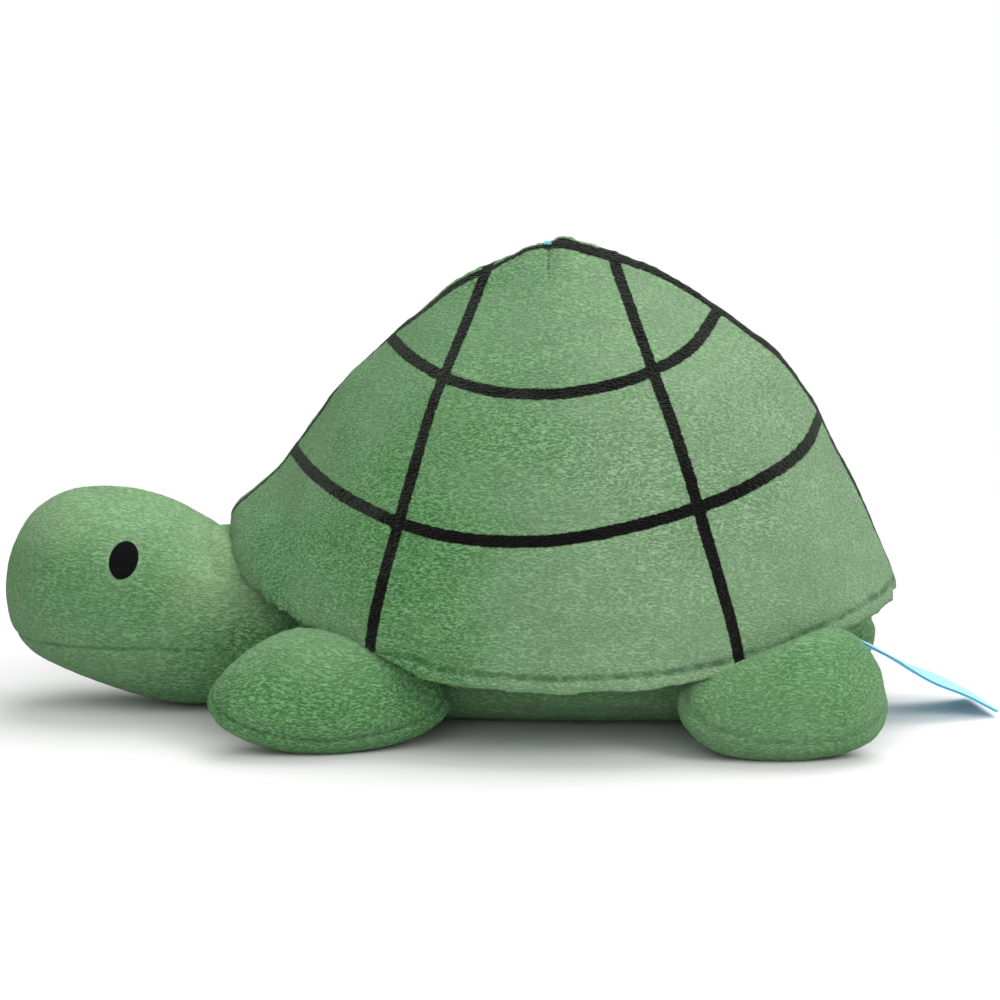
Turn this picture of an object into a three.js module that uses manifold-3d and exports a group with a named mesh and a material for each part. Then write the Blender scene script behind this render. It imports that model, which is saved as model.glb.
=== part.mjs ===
// Plush turtle: a stuffed soft toy sewn from short-pile fabric over loose fibre filling.
// Millimetres, +Z up. The nose points to -X, the toy's left side faces -Y, and the origin lies on the
// floor under the middle of the footprint, halfway between the nose and the tip of the care label.
import * as THREE from "three";
import { mergeVertices } from "three/addons/utils/BufferGeometryUtils.js";
import Module from "manifold-3d";

const wasm = await Module();
wasm.setup();

const degrees = Math.PI / 180;
const mix = THREE.MathUtils.lerp;

// Fabric and fit
const fabricThickness = 1.6;
const seamGap = 0.3;
const fillingGap = 0.95;
const fillingInset = fabricThickness + fillingGap;
const headRoom = 2.4;
const turnedHeadRoom = 0.7;
const limbRoom = 2.6;
const labelRoom = 0.8;
const weldTolerance = 0.0002;
const snapStep = 0.004;
const soleCut = 0.5;

// Overall lengths along the toy
const headReach = 66.5;
const shellLength = 193.2;
const labelOverhang = 30.5;
const overallLength = headReach + shellLength + labelOverhang;
const noseX = -overallLength / 2;
const shellFrontX = noseX + headReach;
const shellRearX = shellFrontX + shellLength;

// Shell
const shellHalfWidth = 68;
const ridgeHeight = 138.8;
const frontArchHeight = 57;
const rearArchHeight = 43;
const undersideMidHeight = 41;
const rimSideHeight = 23.8;
const rimRollDepth = 4.6;
const apexShare = 0.5;
const domeBulgeShare = 0.1;
const rimRollShare = 0.34;
const archStartShare = 0.2;
const archEndShare = 0.5;
const frontRiseShares = [
  [0, 0], [0.04, 0.086], [0.1, 0.127], [0.16, 0.2], [0.22, 0.3], [0.345, 0.495],
  [0.465, 0.635], [0.585, 0.785], [0.645, 0.84], [0.764, 0.89], [0.882, 0.961], [1, 1],
];
const rearFallShares = [
  [0, 1], [0.06, 0.99], [0.24, 0.93], [0.36, 0.87], [0.54, 0.757], [0.66, 0.64],
  [0.78, 0.465], [0.84, 0.34], [0.9, 0.223], [0.96, 0.09], [1, 0],
];
const rimDropShares = [
  [0, 0], [0.09, 0.28], [0.13, 0.43], [0.18, 0.5], [0.214, 0.61], [0.265, 0.72],
  [0.33, 0.79], [0.348, 0.87], [0.375, 0.97], [0.44, 1], [0.5, 1],
];
const rimLiftShares = [
  [0.5, 0], [0.59, 0.09], [0.674, 0.26], [0.748, 0.51], [0.83, 0.76], [0.915, 0.93], [1, 1],
];
const panelEndShare = 0.015;
const archMitreShare = 1.2;
const crestMitreShare = 2;
const rimMitreShare = 3.1;
const tipMitreShare = 5.5;

// Neck ball and head
const neckRadius = 24;
const neckClearance = 0.5;
const collarRadius = neckRadius + neckClearance + fabricThickness;
const neckBandHalfWidth = 13;
const neckHeight = 28.3;
const headLength = 77;
const pivotX = noseX + headLength;
const collarSetback = 7.6;
const headSetback = 4;
const headHalfHeight = 30.9;
const headHalfWidth = 28;
const noseHeight = 33.5;
const noseRun = 27;
const chinSeamHeight = 21.8;
const headLift = 4;
const headLiftShares = [
  [0, 0], [0.066, 0.43], [0.147, 0.97], [0.303, 0.68], [0.456, 0.25], [0.6, -0.44], [0.76, -1.2],
  [1, (neckHeight - noseHeight) / headLift],
];
const headHeightShares = [
  [0, 1.02], [0.07, 1], [0.15, 0.92], [0.3, 0.915], [0.456, 0.97], [0.6, 0.98], [0.76, 0.91],
  [1, collarRadius / headHalfHeight],
];
const headWidthShares = [
  [0, 0.9], [0.3, 0.96], [0.5, 1], [0.8, 0.985], [1, collarRadius / headHalfWidth],
];
const headTailRun = 18;
const nodUpDegrees = 6;
const swayDegrees = 12;

// Eyes
const eyeHalfLength = 4.1;
const eyeHalfHeight = 5.8;
const eyeThickness = 1;
const eyeSetback = 39.1;
const eyeHeight = 47.9;
const eyeLeanDegrees = 12;

// Body
const bodyRearSetback = 13.6;
const bodyRearX = shellRearX - bodyRearSetback;
const bodyFrontRun = 8;
const shellOverhang = 24;
const bodyHalfWidth = shellHalfWidth - shellOverhang;
const bodyTopOverlap = 9;
const bodyWidthShares = [
  [0, collarRadius / bodyHalfWidth], [0.08, 0.66], [0.2, 0.985], [0.3, 1], [0.85, 1], [0.94, 0.94], [1, 0.8],
];
const bodyEndShare = 0.2;
const bodySquarePower = 2.4;
const bellySeamHeight = 8;

// Front flippers
const flipperSetback = 54.6;
const flipperReach = 56;
const flipperHeel = 14;
const flipperHalfHeight = 18.4;
const flipperHalfThickness = 13;
const flipperOutset = 6;
const flipper = {
  hingeX: shellFrontX + flipperSetback,
  pointingDegrees: 12,
  reach: flipperReach,
  heel: flipperHeel,
  halfHeight: flipperHalfHeight,
  halfThickness: flipperHalfThickness,
  outset: flipperOutset,
  leanDegrees: 16,
  seamTurnDegrees: 24,
  swingOutDegrees: 12,
  swingInDegrees: 12,
  heightShares: [[0, 0.7], [0.25, 0.86], [0.5, 1], [0.75, 0.97], [1, 0.8]],
  thicknessShares: [[0, 0.72], [0.3, 0.95], [0.6, 1], [1, 0.8]],
};

// Hind feet
const footSetback = 33.1;
const footReach = 29;
const footHeel = 29;
const footHalfHeight = 20;
const footHalfThickness = 14.5;
const footOutset = 12.2;
const foot = {
  hingeX: shellRearX - footSetback,
  pointingDegrees: 10,
  reach: footReach,
  heel: footHeel,
  halfHeight: footHalfHeight,
  halfThickness: footHalfThickness,
  outset: footOutset,
  leanDegrees: 12,
  seamTurnDegrees: 30,
  swingOutDegrees: 8,
  swingInDegrees: 8,
  heightShares: [[0, 0.98], [0.3, 1], [0.6, 0.96], [1, 0.82]],
  thicknessShares: [[0, 0.9], [0.5, 1], [1, 0.9]],
};

// Care label and thread tack
const labelWidth = 25;
const labelThickness = 0.9;
const labelTurnDegrees = 15;
const labelSewnHeight = 23.6;
const labelRestHeight = 0.6;
const labelSag = 0.7;
const tackLength = 4;
const tackRadius = 1.1;
const tackSetback = 4.2;
const tackX = mix(shellFrontX, shellRearX, apexShare) - tackSetback;

// Facet counts
const shellFacets = { along: 18, down: 6, across: 8 };
const shellCoreFacets = { along: 18, down: 3, across: 8 };
const limbFacets = { around: 12, along: 8 };
const limbCoreFacets = { around: 8, along: 6 };
const eyeFacets = 16;
const labelFacets = { along: 10, across: 2 };
const headFacets = { around: 16, along: 11 };
const headCoreFacets = { around: 12, along: 8 };
const bodyFacets = { around: 14, along: 10 };
const neckFacets = { around: 16, along: 10 };
const tackFacets = { around: 8, along: 2 };
const mitreLimitShare = 0.35;

const smoothstep = THREE.MathUtils.smoothstep;

// A smooth curve through a table of [place, value] pairs.
function through(table, place) {
  const last = table.length - 1;
  const at = THREE.MathUtils.clamp(place, table[0][0], table[last][0]);
  let i = 0;
  while (i < last - 1 && at > table[i + 1][0]) i++;
  const slope = (k) => {
    const a = table[Math.max(k - 1, 0)];
    const b = table[Math.min(k + 1, last)];
    return (b[1] - a[1]) / (b[0] - a[0]);
  };
  const span = table[i + 1][0] - table[i][0];
  const t = (at - table[i][0]) / span;
  const rise = t * t * (3 - 2 * t);
  const startPull = t * (1 - t) * (1 - t) * span * slope(i);
  const endPull = t * t * (t - 1) * span * slope(i + 1);
  return mix(table[i][1], table[i + 1][1], rise) + startPull + endPull;
}

// Solids

function solidFromGeometry(geometry) {
  const bare = new THREE.BufferGeometry();
  bare.setAttribute("position", geometry.getAttribute("position"));
  if (geometry.index) bare.setIndex(geometry.index);
  const merged = mergeVertices(bare, weldTolerance);
  return new wasm.Manifold(new wasm.Mesh({
    numProp: 3,
    vertProperties: Float32Array.from(merged.attributes.position.array),
    triVerts: Uint32Array.from(merged.index.array),
  }));
}

// The solid's faces with corners on a fine grid, leaving out the slivers that this shuts.
function geometryFromSolid(solid) {
  const mesh = solid.getMesh();
  const snapped = mesh.vertProperties.map((value) => Math.round(value / snapStep) * snapStep);
  const geometry = new THREE.BufferGeometry();
  geometry.setAttribute("position", new THREE.BufferAttribute(snapped, 3));
  geometry.setIndex(new THREE.BufferAttribute(mesh.triVerts, 1));
  const welded = mergeVertices(geometry, weldTolerance);
  const kept = [];
  const index = welded.index.array;
  for (let i = 0; i < index.length; i += 3) {
    const [a, b, c] = [index[i], index[i + 1], index[i + 2]];
    if (a !== b && b !== c && c !== a) kept.push(a, b, c);
  }
  welded.setIndex(kept);
  const faceted = welded.toNonIndexed();
  faceted.computeVertexNormals();
  return faceted;
}

// The same form with every face moved outwards by a distance, or inwards where it is negative.
function grown(form, distance) {
  const position = form.attributes.position;
  const normal = form.attributes.normal;
  const index = form.index.array;
  const corner = [new THREE.Vector3(), new THREE.Vector3(), new THREE.Vector3()];
  const leaning = new Array(position.count).fill(1);
  const faceNormal = new THREE.Vector3();
  const pointNormal = new THREE.Vector3();
  for (let i = 0; i < index.length; i += 3) {
    corner.forEach((point, k) => point.fromBufferAttribute(position, index[i + k]));
    faceNormal.copy(corner[1]).sub(corner[0]).cross(corner[2].sub(corner[0])).normalize();
    for (let k = 0; k < 3; k++) {
      const at = index[i + k];
      pointNormal.fromBufferAttribute(normal, at);
      leaning[at] = Math.min(leaning[at], pointNormal.dot(faceNormal));
    }
  }
  const moved = leaning.map((share, i) => new THREE.Vector3().fromBufferAttribute(normal, i)
    .multiplyScalar(distance / Math.max(share, mitreLimitShare))
    .add(corner[0].fromBufferAttribute(position, i)));
  const geometry = new THREE.BufferGeometry().setFromPoints(moved);
  geometry.setIndex(form.index);
  return solidFromGeometry(geometry);
}

function largestPiece(solid) {
  const pieces = solid.decompose();
  return pieces.reduce((best, piece) => (piece.volume() > best.volume() ? piece : best));
}

const above = (solid, height) => solid.trimByPlane([0, 0, 1], height);
const below = (solid, height) => solid.trimByPlane([0, 0, -1], -height);
const ahead = (solid, x) => solid.trimByPlane([-1, 0, 0], -x);
const behind = (solid, x) => solid.trimByPlane([1, 0, 0], x);
const leftOf = (solid, y) => solid.trimByPlane([0, -1, 0], -y);
const mirrored = (solid) => solid.mirror([0, 1, 0]);

function symmetric(solid) {
  const half = largestPiece(leftOf(solid, 0));
  return half.add(mirrored(half));
}

// A closed form from a unit sphere with its poles on X: place() sends each of its points to the toy.
function pillow(place, facets) {
  const sphere = new THREE.SphereGeometry(1, facets.around, facets.along).rotateZ(Math.PI / 2);
  sphere.deleteAttribute("normal");
  sphere.deleteAttribute("uv");
  const form = mergeVertices(sphere, weldTolerance);
  const position = form.attributes.position;
  const point = new THREE.Vector3();
  for (let i = 0; i < position.count; i++) {
    point.fromBufferAttribute(position, i);
    point.copy(place(point));
    position.setXYZ(i, point.x, point.y, point.z);
  }
  form.computeVertexNormals();
  return form;
}

// A curved sheet between an outer and an inner surface, whose two places both run from 0 to 1.
function sheet(outer, inner, along, across) {
  const row = across + 1;
  const count = row * (along + 1);
  const points = [];
  for (const surface of [outer, inner]) {
    for (let i = 0; i <= along; i++) {
      for (let j = 0; j <= across; j++) points.push(surface(i / along, j / across));
    }
  }
  const faces = [];
  for (let i = 0; i < along; i++) {
    for (let j = 0; j < across; j++) {
      const a = i * row + j;
      const b = a + row;
      const c = b + 1;
      const d = a + 1;
      faces.push(a, c, b, a, d, c);
      faces.push(a + count, b + count, c + count, a + count, c + count, d + count);
    }
  }
  const edge = [];
  for (let j = 0; j < across; j++) edge.push(j);
  for (let i = 0; i < along; i++) edge.push(i * row + across);
  for (let j = across; j > 0; j--) edge.push(along * row + j);
  for (let i = along; i > 0; i--) edge.push(i * row);
  edge.forEach((a, i) => {
    const b = edge[(i + 1) % edge.length];
    faces.push(a, b + count, b, a, a + count, b + count);
  });
  const form = new THREE.BufferGeometry().setFromPoints(points);
  form.setIndex(faces);
  return solidFromGeometry(form);
}

// Shell: two dome panels sewn along the ridge, and an underside sewn along the rim

// The section at a share of the half turn round the rim, from the front to the rear. An inset draws
// it in from the skin, further where two faces meet at a sharp edge.
function shellSection(turnShare, inset = 0) {
  const turn = turnShare * Math.PI;
  const tipInset = inset * tipMitreShare;
  const x = mix(shellFrontX + tipInset, shellRearX - tipInset, (1 - Math.cos(turn)) / 2);
  const halfWidth = (shellHalfWidth - inset * rimMitreShare) * Math.sin(turn);
  const place = placeOnShell(x);
  const rim = turnShare < 0.5
    ? mix(frontArchHeight, rimSideHeight, through(rimDropShares, turnShare))
    : mix(rimSideHeight, rearArchHeight, through(rimLiftShares, turnShare));
  const middle = undersideMidHeight
    + (frontArchHeight - undersideMidHeight) * (1 - smoothstep(place, archStartShare, archEndShare))
    + (rearArchHeight - undersideMidHeight) * smoothstep(place, archEndShare, 1);
  return {
    x,
    halfWidth,
    rim: rim + inset * rimMitreShare,
    ridge: ridgeAt(x) - inset * crestMitreShare,
    middle: middle + inset * archMitreShare,
  };
}

// The share of the half turn at which the rim reaches a place along the toy.
function placeOnShell(x) {
  return Math.acos(THREE.MathUtils.clamp(1 - (2 * (x - shellFrontX)) / shellLength, -1, 1)) / Math.PI;
}

function ridgeAt(x) {
  const lengthShare = (x - shellFrontX) / shellLength;
  if (lengthShare < apexShare) {
    return mix(frontArchHeight, ridgeHeight, through(frontRiseShares, lengthShare / apexShare));
  }
  const rearShare = (lengthShare - apexShare) / (1 - apexShare);
  return mix(rearArchHeight, ridgeHeight, through(rearFallShares, rearShare));
}

// A point of the left dome panel: share 0 on the ridge seam, 1 on the rim seam.
function domePoint(turnShare, downShare, inset = 0) {
  const { x, halfWidth, rim, ridge } = shellSection(turnShare, inset);
  const drop = ridge - rim;
  const bulge = domeBulgeShare * 4 * downShare * (1 - downShare);
  return new THREE.Vector3(
    x,
    -halfWidth * downShare - drop * bulge,
    ridge - drop * downShare + halfWidth * bulge,
  );
}

// A point of the underside: share 0 on the left rim seam, 1 on the right one.
function undersidePoint(turnShare, acrossShare, inset = 0) {
  const { x, halfWidth, rim, middle } = shellSection(turnShare, inset);
  const side = Math.sin(Math.PI * (acrossShare - 0.5));
  const rise = 1 - side ** 2;
  const inward = (1 - Math.abs(side)) / rimRollShare;
  const roll = inward < 1 ? Math.sin(Math.PI * inward) : 0;
  const rollDepth = (rimRollDepth - inset) * Math.sin(turnShare * Math.PI);
  return new THREE.Vector3(x, halfWidth * side, mix(rim, middle, rise) - rollDepth * roll);
}

const withinEnds = (share) => mix(panelEndShare, 1 - panelEndShare, share);

function shellForm({ along, down, across }, inset = 0) {
  const rings = [];
  for (let i = 0; i <= along; i++) {
    const turnShare = withinEnds(i / along);
    const ring = [];
    for (let j = 0; j < down; j++) ring.push(domePoint(turnShare, j / down, inset));
    for (let j = 0; j < across; j++) ring.push(undersidePoint(turnShare, j / across, inset));
    for (let j = down; j > 0; j--) {
      const p = domePoint(turnShare, j / down, inset);
      ring.push(new THREE.Vector3(p.x, -p.y, p.z));
    }
    rings.push(ring);
  }
  const count = rings[0].length;
  const points = [domePoint(0, 0, inset), ...rings.flat(), domePoint(1, 0, inset)];
  const rearPole = points.length - 1;
  const at = (i, j) => 1 + i * count + (j % count);
  const faces = [];
  for (let j = 0; j < count; j++) {
    faces.push(0, at(0, j + 1), at(0, j));
    faces.push(rearPole, at(rings.length - 1, j), at(rings.length - 1, j + 1));
    for (let i = 0; i < rings.length - 1; i++) {
      const [a, b, c, d] = [at(i, j), at(i + 1, j), at(i + 1, j + 1), at(i, j + 1)];
      if (j < down + across) faces.push(a, c, b, a, d, c);
      else faces.push(a, d, b, b, d, c);
    }
  }
  const form = new THREE.BufferGeometry().setFromPoints(points);
  form.setIndex(faces);
  form.computeVertexNormals();
  return form;
}

const shell = shellForm(shellFacets);
const shellCutter = (distance) => grown(shell, distance);

function makeShell() {
  const { along, down, across } = shellFacets;
  const seamShare = seamGap / shellLength;
  const dome = (inset) => (u, v) => domePoint(withinEnds(u), v * (1 - seamShare), inset);
  const under = (inset) => (u, v) => (
    undersidePoint(withinEnds(u), mix(seamShare, 1 - seamShare, v), inset)
  );
  const leftPanel = leftOf(sheet(dome(0), dome(fabricThickness), along, down), -seamGap / 2);
  return {
    shell_left_panel: leftPanel,
    shell_right_panel: mirrored(leftPanel),
    shell_underside: sheet(under(0), under(fabricThickness), along, across),
    shell_stuffing: solidFromGeometry(shellForm(shellCoreFacets, fillingInset + seamGap)),
  };
}

// Neck: a stuffed ball that the head and the body both cup

const neckCentre = [pivotX, 0, neckHeight];

function ball(radius, facets = neckFacets) {
  const sphere = new THREE.SphereGeometry(radius, facets.around, facets.along);
  return solidFromGeometry(sphere.rotateX(Math.PI / 2)).translate(neckCentre);
}

function makeNeck() {
  const tube = ball(neckRadius).subtract(ball(neckRadius - fabricThickness));
  return {
    neck_cover: ahead(behind(tube, pivotX - neckBandHalfWidth), pivotX + neckBandHalfWidth),
    neck_stuffing: ball(neckRadius - fillingInset, headCoreFacets),
  };
}

// Head

function headPlace(point) {
  const whole = headLength + headTailRun;
  const run = (whole * (point.x + 1)) / 2;
  const share = Math.min(run / headLength, 1);
  const noseShare = Math.min(run / noseRun, 1);
  const tailShare = Math.min(Math.max(0, run - headLength) / headTailRun, 1);
  const round = Math.sqrt(1 - (1 - noseShare) ** 2) * Math.sqrt(1 - tailShare ** 2);
  const ring = Math.hypot(point.y, point.z) || 1;
  const height = headHalfHeight * through(headHeightShares, share) * round;
  const width = headHalfWidth * through(headWidthShares, share) * round;
  return new THREE.Vector3(
    noseX + run,
    (width * point.y) / ring,
    noseHeight + headLift * through(headLiftShares, share) + (height * point.z) / ring,
  );
}

const headForm = pillow(headPlace, headFacets);
const headCore = pillow(headPlace, headCoreFacets);

// What of a solid lies ahead of a place on the neck, with room under the shell to nod and sway.
function headPart(solid, setback) {
  const back = neckCentre.map((value) => -value);
  const rim = shellCutter(turnedHeadRoom).translate(back);
  let open = solid.subtract(shellCutter(headRoom)).subtract(ball(neckRadius + neckClearance));
  for (const turn of [-swayDegrees, swayDegrees]) {
    const seen = rim.rotate([0, 0, turn]).rotate([0, -nodUpDegrees, 0]);
    open = open.subtract(seen.translate(neckCentre));
  }
  return largestPiece(ahead(open, pivotX - setback));
}

function makeHead() {
  const cover = headPart(grown(headForm, 0).subtract(grown(headForm, -fabricThickness)), headSetback);
  const upper = above(cover, chinSeamHeight + seamGap / 2);
  const leftPanel = largestPiece(leftOf(upper, -seamGap / 2));
  const eye = makeEye();
  return {
    head_left_panel: leftPanel,
    head_right_panel: mirrored(leftPanel),
    chin_panel: largestPiece(below(cover, chinSeamHeight - seamGap / 2)),
    head_stuffing: symmetric(headPart(grown(headCore, -fillingInset - seamGap), neckBandHalfWidth)),
    left_eye: eye,
    right_eye: mirrored(eye),
  };
}

// An oval patch of stitches that follows the curve of the head.
function makeEye() {
  const x = noseX + eyeSetback;
  const share = eyeSetback / headLength;
  const lift = eyeHeight - noseHeight - headLift * through(headLiftShares, share);
  const heightShare = lift / (headHalfHeight * through(headHeightShares, share));
  const patch = new THREE.CylinderGeometry(1, 1, headHalfWidth, eyeFacets);
  patch.scale(eyeHalfLength, 1, eyeHalfHeight);
  patch.rotateY(eyeLeanDegrees * degrees);
  patch.rotateX(-Math.asin(heightShare));
  patch.translate(x, -headHalfWidth * Math.sqrt(1 - heightShare ** 2), eyeHeight);
  const oval = solidFromGeometry(patch).subtract(grown(headForm, seamGap));
  return largestPiece(oval.intersect(grown(headForm, seamGap + eyeThickness)));
}

// Body

const collarX = pivotX + collarSetback;
const bodyFrontX = collarX - bodyFrontRun;
const bodyLength = bodyRearX - bodyFrontX;

// Half the body's width at a share of its length from the collar to the rear.
function bodyWidthAt(x) {
  return bodyHalfWidth * through(bodyWidthShares, (x - collarX) / (bodyRearX - collarX));
}

function bodyPlace(point) {
  const x = bodyFrontX + (bodyLength * (point.x + 1)) / 2;
  const endShare = Math.max(0, (x - bodyRearX) / (bodyLength * bodyEndShare) + 1);
  const startShare = Math.max(0, (collarX - x) / bodyFrontRun);
  const round = Math.sqrt(1 - Math.min(endShare, 1) ** 2) * Math.sqrt(1 - Math.min(startShare, 1) ** 2);
  const top = shellSection(placeOnShell(x)).middle;
  const collarShare = 1 - smoothstep(x, collarX, collarX + collarRadius);
  const roof = mix(top + bodyTopOverlap, neckHeight + collarRadius, collarShare);
  const floor = mix(-soleCut, neckHeight - collarRadius, collarShare);
  const middle = (roof + floor) / 2;
  const ring = Math.hypot(point.y, point.z) || 1;
  const power = mix(bodySquarePower, 2, collarShare);
  const square = (part) => Math.sign(part) * Math.abs(part / ring) ** (2 / power);
  return new THREE.Vector3(
    x,
    bodyWidthAt(x) * round * square(point.y),
    middle + ((roof - floor) / 2) * round * square(point.z),
  );
}

const bodyForm = pillow(bodyPlace, bodyFacets);

function bodySolid(inset) {
  return above(grown(bodyForm, -inset).subtract(shellCutter(inset + seamGap)), inset);
}

function makeBody() {
  const socket = ball(neckRadius + neckClearance);
  const skin = bodySolid(0).subtract(bodySolid(fabricThickness)).subtract(socket);
  const cover = largestPiece(behind(skin, collarX));
  return {
    body_side_panel: largestPiece(above(cover, bellySeamHeight + seamGap / 2)),
    belly_panel: largestPiece(below(cover, bellySeamHeight - seamGap / 2)),
    body_stuffing: largestPiece(
      behind(bodySolid(fillingInset).subtract(socket), collarX),
    ),
  };
}

// Limbs: each hangs on a short upright seam at the side of the body

// The foot of the line that a left limb swings about, a seam's gap off the body's side.
function hingeOf(limb) {
  const slice = ahead(behind(grown(bodyForm, seamGap), limb.hingeX - seamGap), limb.hingeX);
  return [limb.hingeX, slice.boundingBox().min[1], 0];
}

function limbPlace(limb) {
  const [hingeX, hingeY] = hingeOf(limb);
  const pointing = limb.pointingDegrees * degrees;
  const lean = limb.leanDegrees * degrees;
  const forward = new THREE.Vector3(-Math.cos(pointing), -Math.sin(pointing), 0);
  const outward = new THREE.Vector3(Math.sin(pointing), -Math.cos(pointing), 0);
  const upward = new THREE.Vector3(0, 0, Math.cos(lean)).addScaledVector(outward, -Math.sin(lean));
  const thick = new THREE.Vector3().copy(outward).multiplyScalar(Math.cos(lean));
  thick.z = Math.sin(lean);
  return (point) => {
    const share = (point.x + 1) / 2;
    const round = Math.sqrt(1 - point.x ** 2);
    const ring = Math.hypot(point.y, point.z) || 1;
    const height = limb.halfHeight * through(limb.heightShares, share) * round;
    const thickness = limb.halfThickness * through(limb.thicknessShares, share) * round;
    const centreHeight = limb.halfHeight * Math.cos(lean) * through(limb.heightShares, share) - soleCut;
    return new THREE.Vector3(hingeX, hingeY, centreHeight)
      .addScaledVector(forward, mix(-limb.heel, limb.reach, share))
      .addScaledVector(outward, limb.outset)
      .addScaledVector(upward, (height * point.z) / ring)
      .addScaledVector(thick, (thickness * point.y) / ring);
  };
}

// The limb at an inset from its skin, with room under the shell, and beside the body as far as it swings.
function limbSolid(limb, form, inset) {
  const [hingeX, hingeY] = hingeOf(limb);
  const beside = grown(bodyForm, inset + seamGap).translate([-hingeX, -hingeY, 0]);
  let solid = above(grown(form, -inset), inset).subtract(shellCutter(inset + limbRoom));
  for (const turn of [-limb.swingOutDegrees, 0, limb.swingInDegrees]) {
    solid = solid.subtract(beside.rotate([0, 0, turn]).translate([hingeX, hingeY, 0]));
  }
  return solid;
}

function makeLimb(limb, name) {
  const form = pillow(limbPlace(limb), limbFacets);
  const core = pillow(limbPlace(limb), limbCoreFacets);
  const [hingeX, hingeY] = hingeOf(limb);
  const cover = limbSolid(limb, form, 0).subtract(limbSolid(limb, form, fabricThickness));
  const turn = limb.pointingDegrees * degrees;
  const lean = (limb.leanDegrees + limb.seamTurnDegrees) * degrees;
  const outward = new THREE.Vector3(
    Math.sin(turn) * Math.cos(lean),
    -Math.cos(turn) * Math.cos(lean),
    Math.sin(lean),
  );
  const centre = new THREE.Vector3(hingeX, hingeY, limb.halfHeight)
    .add(new THREE.Vector3(Math.sin(turn), -Math.cos(turn), 0).multiplyScalar(limb.outset));
  const seam = outward.dot(centre);
  const normal = outward.toArray();
  const away = outward.clone().negate().toArray();
  return {
    [name + "_outer_panel"]: largestPiece(cover.trimByPlane(normal, seam + seamGap / 2)),
    [name + "_inner_panel"]: largestPiece(cover.trimByPlane(away, -seam + seamGap / 2)),
    [name + "_stuffing"]: largestPiece(limbSolid(limb, core, fillingInset)),
  };
}

// Care label and thread tack

const labelSewn = [bodyRearX + seamGap, 0, labelSewnHeight];
const labelTurn = labelTurnDegrees * degrees;
const labelReach = (noseX + overallLength - labelSewn[0] - (labelWidth / 2) * Math.sin(labelTurn))
  / Math.cos(labelTurn);

function makeLabel() {
  const surface = (lift) => (u, v) => new THREE.Vector3(
    u * labelReach,
    mix(-labelWidth / 2, labelWidth / 2, v),
    mix(labelSewnHeight, labelRestHeight, u) - labelSag * Math.sin(Math.PI * u) + lift,
  ).applyAxisAngle(new THREE.Vector3(0, 0, 1), labelTurn)
    .add(new THREE.Vector3(labelSewn[0], 0, 0));
  const { along, across } = labelFacets;
  const ribbon = sheet(surface(0), surface(labelThickness), along, across);
  return { care_label: largestPiece(ribbon.subtract(grown(bodyForm, labelRoom))) };
}

function makeTack() {
  const bar = new THREE.CapsuleGeometry(tackRadius, tackLength, tackFacets.along, tackFacets.around);
  bar.translate(tackX, 0, ridgeAt(tackX));
  return { thread_tack: largestPiece(solidFromGeometry(bar).subtract(shellCutter(seamGap))) };
}

// Assembly

const finishes = {
  fabric: { color: 0x6fae74, roughness: 0.95, metalness: 0 },
  filling: { color: 0xf2f0ea, roughness: 1, metalness: 0 },
  stitching: { color: 0x151214, roughness: 0.7, metalness: 0 },
  ribbon: { color: 0x5bbbe6, roughness: 0.4, metalness: 0 },
  thread: { color: 0x4fb7b5, roughness: 0.7, metalness: 0 },
};

function finishOf(name) {
  if (name.endsWith("stuffing")) return finishes.filling;
  if (name.endsWith("eye")) return finishes.stitching;
  if (name === "care_label") return finishes.ribbon;
  if (name === "thread_tack") return finishes.thread;
  return finishes.fabric;
}

// A group that turns about its own pivot, holding one named mesh for each solid.
function bodyGroup(name, solids, pivot = [0, 0, 0]) {
  const group = new THREE.Group();
  group.name = name;
  group.position.set(...pivot);
  for (const [part, solid] of Object.entries(solids)) {
    const geometry = geometryFromSolid(solid.translate([-pivot[0], -pivot[1], -pivot[2]]));
    const mesh = new THREE.Mesh(geometry, new THREE.MeshStandardMaterial(finishOf(part)));
    mesh.name = part;
    group.add(mesh);
  }
  return group;
}

function limbPair(limb, pairName, limbName) {
  const left = makeLimb(limb, pairName + "_left_" + limbName);
  const right = Object.fromEntries(Object.entries(left).map(
    ([part, solid]) => [part.replace("_left_", "_right_"), mirrored(solid)],
  ));
  const [x, y, z] = hingeOf(limb);
  return [
    bodyGroup(pairName + "_left", left, [x, y, z]),
    bodyGroup(pairName + "_right", right, [x, -y, z]),
  ];
}

const turtle = new THREE.Group();
turtle.name = "plush_turtle";
turtle.add(bodyGroup("trunk", { ...makeShell(), ...makeBody(), ...makeTack() }));
const neck = bodyGroup("neck", makeNeck(), neckCentre);
neck.add(bodyGroup("head", makeHead(), neckCentre));
neck.children.at(-1).position.set(0, 0, 0);
turtle.add(neck);
turtle.add(...limbPair(flipper, "front", "flipper"));
turtle.add(...limbPair(foot, "hind", "foot"));
turtle.add(bodyGroup("label", makeLabel(), labelSewn));

export default turtle;
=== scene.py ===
import math
import random

import bmesh
import bpy
import numpy as np
from mathutils import Matrix, Vector, noise
from mathutils.bvhtree import BVHTree
from mathutils.kdtree import KDTree


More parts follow.
